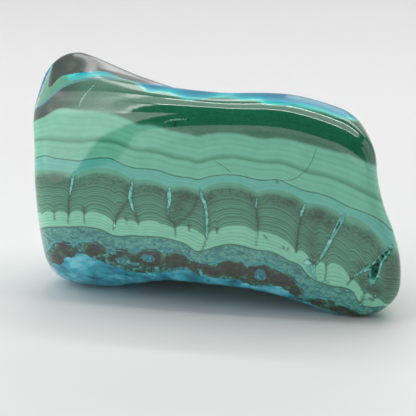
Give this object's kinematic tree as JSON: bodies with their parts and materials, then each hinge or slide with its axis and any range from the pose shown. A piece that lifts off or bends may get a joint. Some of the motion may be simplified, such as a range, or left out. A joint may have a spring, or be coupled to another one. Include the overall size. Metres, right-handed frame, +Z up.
{
  "type": "chrysocolla specimen",
  "caption": "Polished free-form of banded green malachite and blue chrysocolla, a stone block with rounded edges that stands by itself.",
  "frame": {"origin": "middle of the stone's footprint, on the plane that it stands on", "axes": "+X along the stone's length, towards the narrow end; +Y from the banded front face to the back; +Z up"},
  "size_m": [0.08, 0.0406, 0.0479],
  "materials": {
    "polished_stone": "hand-polished, glossy, banded light and dark green with blue along the top and the base"
  },
  "bodies": {
    "root": {"polished_stone": "polished_stone"}
  },
  "joints": []
}
